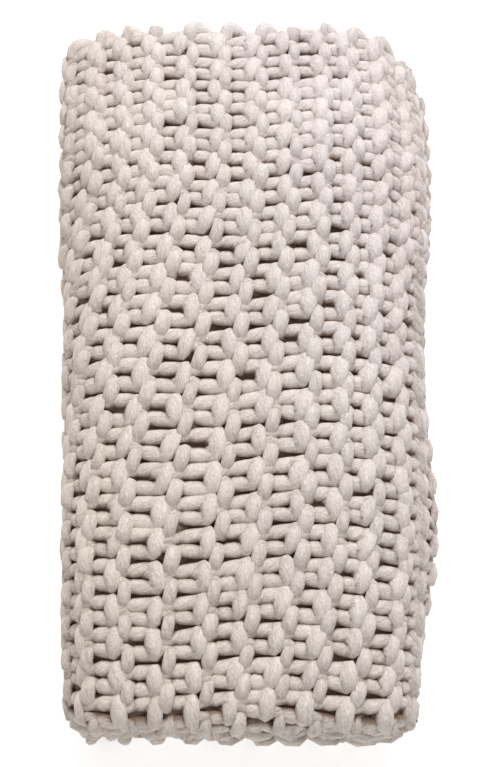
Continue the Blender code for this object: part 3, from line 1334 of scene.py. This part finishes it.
class Knitting:
    """The yarn of the whole throw, row by row, where it can be seen.

    FIRST_ROWS says where each piece starts. The stitches that can be seen lie within NEAR_STITCHES
    of the middle of the roll, FAR_STITCHES of a selvedge, EDGE_ROWS of a free edge or SIDE_MARGIN
    of the sides, or on the pile's top or bottom, whose TOP_LAYERS and BOTTOM_LAYERS go part of the
    way round a fold. Yarn round the roll is drawn with ROLLED_POINTS a stitch.
    """

    FIRST_ROWS = {
        "top_right": 0,
        "top_middle": 8,
        "top_left": 16,
        "second_layer": 24,
        "third_layer": 41,
        "fourth_layer": 57,
        "bottom_layer": 74,
    }
    NEAR_STITCHES = 3
    ROLLED_STITCHES = 2
    ROLLED_POINTS = 28
    FAR_STITCHES = 2
    SIDE_MARGIN = 0.055
    EDGE_ROWS = 4
    TOP_LAYERS = 0.8
    BOTTOM_LAYERS = 1.2
    TURN_POINTS = 4
    TURN_REACH = 0.6
    TURN_SWELL = 0.28
    SHORTEST_RUN = 4
    PROBE = 0.002
    SMOOTHINGS = 6
    FLOOR_CLEARANCE = 1.14
    TUCKED_HEADS = {0: Tuck(0.10, 0.20), 1: Tuck(0.90, 0.30)}

    def __init__(
        self,
        gauge: Gauge,
        loop: Loop,
        jitter: Jitter,
        tree: YarnTree,
        material: bpy.types.Material,
    ) -> None:
        """Takes the knit's sizes, its unevenness, the sweep and the finish.

        Args:
            gauge: Where stitches lie.
            loop: The shape of a stitch.
            jitter: Its unevenness.
            tree: The sweep.
            material: The finish.
        """
        self.gauge, self.loop, self.jitter = gauge, loop, jitter
        self.tree, self.material = tree, material
        self.kept = self.visible_stitches()

    def from_roll(self, stitch: int | np.ndarray) -> float | np.ndarray:
        """How many stitches a stitch's middle lies from the middle of the roll."""
        return abs(stitch + 0.5 - self.gauge.stitches / 2)

    @staticmethod
    def face(row: int) -> float:
        """1 where a row's heads lie on the outer face, -1 where they lie on the inner one."""
        return -1.0 if row % 2 == 0 else 1.0

    def visible_stitches(self) -> np.ndarray:
        """Works out which stitches can be seen from some side.

        Returns:
            An array of rows by stitches.
        """
        gauge, pile = self.gauge, self.gauge.pile
        row, stitch = np.meshgrid(np.arange(gauge.rows), np.arange(gauge.stitches), indexing="ij")
        y, offset, _, _ = pile.hairpin(gauge.along(stitch + 0.5))
        length = gauge.path_length(gauge.row_line(row), y)
        x, _, _, _, turn = pile.serpentine(length, y, offset)
        outer = offset > 0.0
        near_end = self.from_roll(stitch) < self.NEAR_STITCHES
        far_end = (stitch < self.FAR_STITCHES) | (stitch >= gauge.stitches - self.FAR_STITCHES)
        on_side = pile.at_stations(pile.edges[1].reach, y) - np.abs(x) < self.SIDE_MARGIN
        top = outer & (turn < self.TOP_LAYERS)
        bottom = ~outer & (turn > len(pile.layers) - self.BOTTOM_LAYERS)
        facing = np.where(x > 0.0, ~outer, outer)
        between = (turn > 0.0) & (turn < len(pile.layers) - 1)
        rim = (row < self.EDGE_ROWS) | (row >= gauge.rows - self.EDGE_ROWS)
        return near_end | far_end | top | bottom | rim | (on_side & facing & between)

    def pieces(self) -> Iterator[Piece]:
        """The pieces: the top layer in three parts, and each layer below as one.

        Yields:
            Each piece.
        """
        ends = [*self.FIRST_ROWS.values(), self.gauge.rows][1:]
        for (name, first), last in zip(self.FIRST_ROWS.items(), ends):
            detail = Detail.FINE if name.startswith("top") else Detail.PLAIN
            yield Piece("knit_" + name, first, last, detail)

    def stitch_points(self, row: int, stitch: int, turn: np.ndarray) -> tuple[np.ndarray, ...]:
        """One stitch's yarn in the flat cloth.

        Args:
            row: Its row.
            stitch: Its number in the row.
            turn: Shares of the stitch, from 0 at a sinker through 0.5 at the head to 1.

        Returns:
            Rows from the free edge, distance along, depth, radius and flatness.
        """
        gauge = self.gauge
        across, rise, depth, radius, flat = self.loop.shape(turn, self.face(row))
        if row in self.TUCKED_HEADS:
            share = self.TUCKED_HEADS[row]
            tucked = smooth(rise / self.loop.reach)
            rise = rise * (1.0 - tucked * (1.0 - share.rise))
            depth = depth * (1.0 - tucked * (1.0 - share.depth))
        beside = across * gauge.stitch_width
        shift, lifted, deeper, thicker = self.jitter.apply(row, stitch, turn, beside)
        along = gauge.along(stitch + 0.5 + across)
        line = gauge.row_line(row) - (rise + lifted) / gauge.row_height
        radius = radius * thicker * gauge.swelling(along)
        return line, along + shift + self.jitter.swayed(line, stitch), depth + deeper, radius, flat

    def turn_points(self, row: int, far: bool) -> tuple[np.ndarray, ...]:
        """The yarn's turn at a selvedge, from one row to the next.

        Args:
            row: The row before the turn.
            far: Whether the selvedge is the upper one.

        Returns:
            The same five values as for a stitch.
        """
        gauge, loop = self.gauge, self.loop
        sweep = np.linspace(0.0, math.pi, self.TURN_POINTS + 2)[1:-1]
        end = gauge.selvedge if far else gauge.pile.doubled_length - gauge.selvedge
        out = -1.0 if far else 1.0
        line = gauge.row_line(row) + loop.reach / gauge.row_height + sweep / math.pi
        along = end + out * np.sin(sweep) * self.TURN_REACH * gauge.selvedge
        depth = -self.face(row) * loop.bends[-1].depth * np.cos(sweep)
        sinker = loop.bends[0]
        radius = sinker.radius * (1.0 + self.TURN_SWELL * np.sin(sweep))
        return line, along, depth, radius, np.full(sweep.shape, sinker.flat)

    def runs(self, piece: Piece) -> Iterator[Strand]:
        """The unbroken runs of yarn in a piece, following the rows back and forth.

        Args:
            piece: The piece.

        Yields:
            Each run.
        """
        flat_turn = self.loop.turns(piece.detail.points)
        rolled_turn = self.loop.turns(self.ROLLED_POINTS, rolled=True)
        strand = Strand()
        for row in range(piece.first, piece.last):
            forward = row % 2 == 0
            order = range(self.gauge.stitches)
            for stitch in order if forward else reversed(order):
                if not self.kept[row, stitch]:
                    if strand:
                        yield strand
                    strand = Strand()
                    continue
                rolled = self.from_roll(stitch) < self.ROLLED_STITCHES
                turn = rolled_turn if rolled else flat_turn
                strand.add(*self.stitch_points(row, stitch, turn if forward else 1.0 - turn))
            if strand and row + 1 < piece.last:
                strand.add(*self.turn_points(row, far=not forward))
        if strand:
            yield strand

    @staticmethod
    def squared(normal: np.ndarray, tangent: np.ndarray) -> np.ndarray:
        """Directions turned square to the yarn, each 1 long."""
        normal = normal - (normal * tangent).sum(1, keepdims=True) * tangent
        return normal / np.maximum(np.linalg.norm(normal, axis=1, keepdims=True), TINY)

    def carried(self, strand: Strand) -> YarnLine:
        """A run carried into the pile, with smooth outward directions, and kept off the floor.

        Args:
            strand: The run in the flat cloth.

        Returns:
            The run in the pile.
        """
        gauge = self.gauge
        row, along, depth, radius, flat = strand.joined()
        points = gauge.place(row, along, depth)
        outer, inner = (gauge.place(row, along, depth + side * self.PROBE) for side in (1.0, -1.0))
        normal = outer - inner
        tangent = np.gradient(points, axis=0)
        tangent /= np.linalg.norm(tangent, axis=1, keepdims=True)
        for _ in range(self.SMOOTHINGS):
            normal = self.squared(normal, tangent)
            normal[1:-1] = (normal[:-2] + 2 * normal[1:-1] + normal[2:]) / 4
        normal = self.squared(normal, tangent)
        upright, level = normal[:, 2] ** 2, tangent[:, 2] ** 2
        below = radius * np.sqrt(flat**2 * upright + np.clip(1.0 - upright - level, 0.0, 1.0))
        points[:, 2] = np.maximum(points[:, 2], self.FLOOR_CLEARANCE * below)
        beside = np.minimum(along, gauge.pile.doubled_length - along) / gauge.stitch_width
        cover = smooth(np.minimum(beside, np.minimum(row, gauge.line_count - row)))
        return YarnLine(points, normal, radius, flat, depth, cover)

    def build(self) -> list[bpy.types.Object]:
        """Builds every piece of knitting.

        Returns:
            The pieces.
        """
        made = []
        for piece in self.pieces():
            lines = [self.carried(strand) for strand in self.runs(piece)]
            lines = [line for line in lines if len(line.points) >= self.SHORTEST_RUN]
            made.append(self.tree.sweep(piece.name, lines, piece.detail.sides, self.material))
        return made


@dataclass
class BoundEdge:
    """The bound-off edge of the top layer and the cast-on edge of the bottom one."""

    knitting: Knitting
    swing: float = 0.0040
    rise: float = 0.0040
    radius: float = 0.0039
    swell: float = 0.0010
    flat: float = 0.85
    inset_rows: float = 0.22
    proud: float = 0.0022
    uneven_shift: float = 0.12
    uneven_depth: float = 0.0012
    uneven_radius: float = 0.10
    points_per_stitch: int = 14
    sides: int = 9

    def strand(self, row: float, phase: float) -> Strand:
        """One of the two strands that wind round each other along an edge.

        Args:
            row: Where the edge lies, in rows from the free edge.
            phase: The strand's turn at the far end.

        Returns:
            The strand.
        """
        gauge = self.knitting.gauge
        count = gauge.stitches * self.points_per_stitch
        stitch = np.linspace(0.0, gauge.stitches, count)
        knots = np.arange(gauge.stitches + 1)
        rng = np.random.default_rng(SEED + int(row) + int(phase))
        uneven = rng.uniform(-1.0, 1.0, size=(3, len(knots)))
        shift, deeper, thicker = (np.interp(stitch, knots, values) for values in uneven)
        angle = math.pi * (stitch + self.uneven_shift * shift) + phase
        outer = np.sin(angle)
        strand = Strand()
        strand.add(
            row + self.swing / gauge.row_height * np.cos(angle),
            gauge.along(stitch),
            self.proud + self.rise * outer + self.uneven_depth * deeper,
            (self.radius + self.swell * outer) * (1.0 + self.uneven_radius * thicker),
            np.full(count, self.flat),
        )
        return strand

    def build(self) -> bpy.types.Object:
        """Builds both edges as one piece.

        Returns:
            The piece.
        """
        gauge = self.knitting.gauge
        last = gauge.line_count - self.inset_rows
        lines = [
            self.knitting.carried(self.strand(row, phase))
            for row in (self.inset_rows, last)
            for phase in (0.0, math.pi)
        ]
        tree = self.knitting.tree
        return tree.sweep("knit_bound_edges", lines, self.sides, self.knitting.material)


@dataclass
class ShadowSheet:
    """A thin sheet inside the cloth, folded with it, in painted shade: it shows as the shadow
    between the stitches.
    """

    gauge: Gauge
    material: bpy.types.Material
    depth: float = -0.0035
    thickness: float = 0.0014
    end_margin: float = 0.012
    margin_rows: float = 0.6
    across_steps: int = 150
    along_steps: int = 90

    def build(self) -> bpy.types.Object:
        """Builds the folded sheet.

        Returns:
            The sheet.
        """
        length = self.gauge.pile.doubled_length
        along = np.linspace(self.end_margin, length - self.end_margin, self.along_steps)
        last_row = self.gauge.line_count - self.margin_rows
        rows = np.linspace(self.margin_rows, last_row, self.across_steps)
        row, along = np.meshgrid(rows, along, indexing="ij")
        points = self.gauge.place(row, along, np.full(row.shape, self.depth))
        count = self.along_steps
        faces = [
            (i * count + j, (i + 1) * count + j, (i + 1) * count + j + 1, i * count + j + 1)
            for i in range(self.across_steps - 1)
            for j in range(count - 1)
        ]
        mesh = bpy.data.meshes.new("knit_shadow_sheet")
        mesh.from_pydata(points.reshape(-1, 3).tolist(), [], faces)
        mesh.materials.append(self.material)
        mesh.shade_smooth()
        piece = new_object("knit_shadow_sheet", mesh)
        solid = piece.modifiers.new("thickness", "SOLIDIFY")
        solid.thickness = self.thickness
        solid.offset = 0.0
        return piece


@dataclass
class Studio:
    """The pale floor, the light and the camera, which looks down on the top of the pile."""

    top: float
    elevation: float = 70.0
    distance: float = 1.05
    lens: float = 60.3
    sensor: float = 36.0
    aim_across: float = 0.0055
    aim_along: float = -0.047
    floor_size: float = 12.0
    floor_shade: float = 0.95
    floor_roughness: float = 0.9
    floor_glow: float = 0.5
    sky_low: float = 0.185
    sky_high: float = 0.73
    key_place: tuple[float, float, float] = (0.45, 1.70, 2.20)
    key_size: float = 1.3
    key_power: float = 52.0

    def camera(self) -> None:
        """Places the camera above the near end."""
        data = bpy.data.cameras.new("camera")
        data.lens = self.lens
        data.sensor_width = self.sensor
        camera = new_object("camera", data)
        angle = math.radians(self.elevation)
        back = Vector((0.0, -math.cos(angle), math.sin(angle)))
        aim = Vector((self.aim_across, self.aim_along, self.top))
        camera.location = aim + back * self.distance
        camera.rotation_euler = (-back).to_track_quat("-Z", "Y").to_euler()
        bpy.context.scene.camera = camera

    def key_light(self) -> None:
        """A broad soft light behind the far end, which faces the pile."""
        data = bpy.data.lights.new("key", "AREA")
        data.energy = self.key_power
        data.size = self.key_size
        light = new_object("key", data)
        light.location = self.key_place
        light.rotation_euler = Vector(self.key_place).to_track_quat("Z", "Y").to_euler()

    def floor(self) -> None:
        """The pale floor."""
        bpy.ops.mesh.primitive_plane_add(size=self.floor_size, location=(0.0, 0.0, 0.0))
        floor = bpy.context.object
        floor.name = "floor"
        material, nodes, shader = new_material("pale_floor")
        nodes.fill(
            shader,
            Base_Color=(*(self.floor_shade,) * 3, 1.0),
            Roughness=self.floor_roughness,
            Emission_Color=(1.0, 1.0, 1.0, 1.0),
            Emission_Strength=self.floor_glow,
        )
        floor.data.materials.append(material)
        floor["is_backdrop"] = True

    def sky(self) -> None:
        """White light from all round, strongest from above."""
        world = bpy.data.worlds.new("studio")
        world.use_nodes = True
        nodes = NodeTree(world.node_tree)
        place = nodes.add("ShaderNodeTexCoord").outputs["Generated"]
        height = nodes.add("ShaderNodeSeparateXYZ", Vector=place).outputs["Z"]
        strength = nodes.ranged(height, To_Min=self.sky_low, To_Max=self.sky_high)
        background = world.node_tree.nodes["Background"]
        nodes.fill(background, Color=(1.0, 1.0, 1.0, 1.0), Strength=strength)
        bpy.context.scene.world = world

    def build(self) -> None:
        """Builds the studio."""
        bpy.context.scene.view_settings.view_transform = "Standard"
        self.floor()
        self.sky()
        self.key_light()
        self.camera()


def clear_scene() -> None:
    """Removes whatever the scene held."""
    for thing in list(bpy.data.objects):
        bpy.data.objects.remove(thing)


def main() -> None:
    """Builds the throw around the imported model."""
    logging.basicConfig(level=logging.INFO, format="%(name)s: %(message)s")
    clear_scene()
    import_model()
    cad_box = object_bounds()
    low, high = cad_box
    pile = Pile(half_length=(high.y - low.y) / 2)
    gauge = Gauge(pile)
    finishes = Finishes()
    Studio(top=high.z).build()
    knitting = Knitting(gauge, Loop(gauge), Jitter(), YarnTree(), finishes.yarn)
    stitched = knitting.build()
    stitched.append(BoundEdge(knitting).build())
    # The sheet of painted shade inside the cloth.
    shadow_sheet = ShadowSheet(gauge, finishes.shade_sheet).build()
    for piece in [shadow_sheet, *stitched]:
        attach(piece, BODY)
        triangles = sum(len(face.vertices) - 2 for face in piece.data.polygons)
        LOG.info("%s: %d triangles", piece.name, triangles)
    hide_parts(NODE)
    width = pile.doubled_length
    length = float(pile.path_ends(np.zeros(1))[-1][0])
    LOG.info("flat cloth %.3f by %.3f m, %d rows", width, length, gauge.rows)


if __name__ == "__main__":
    main()
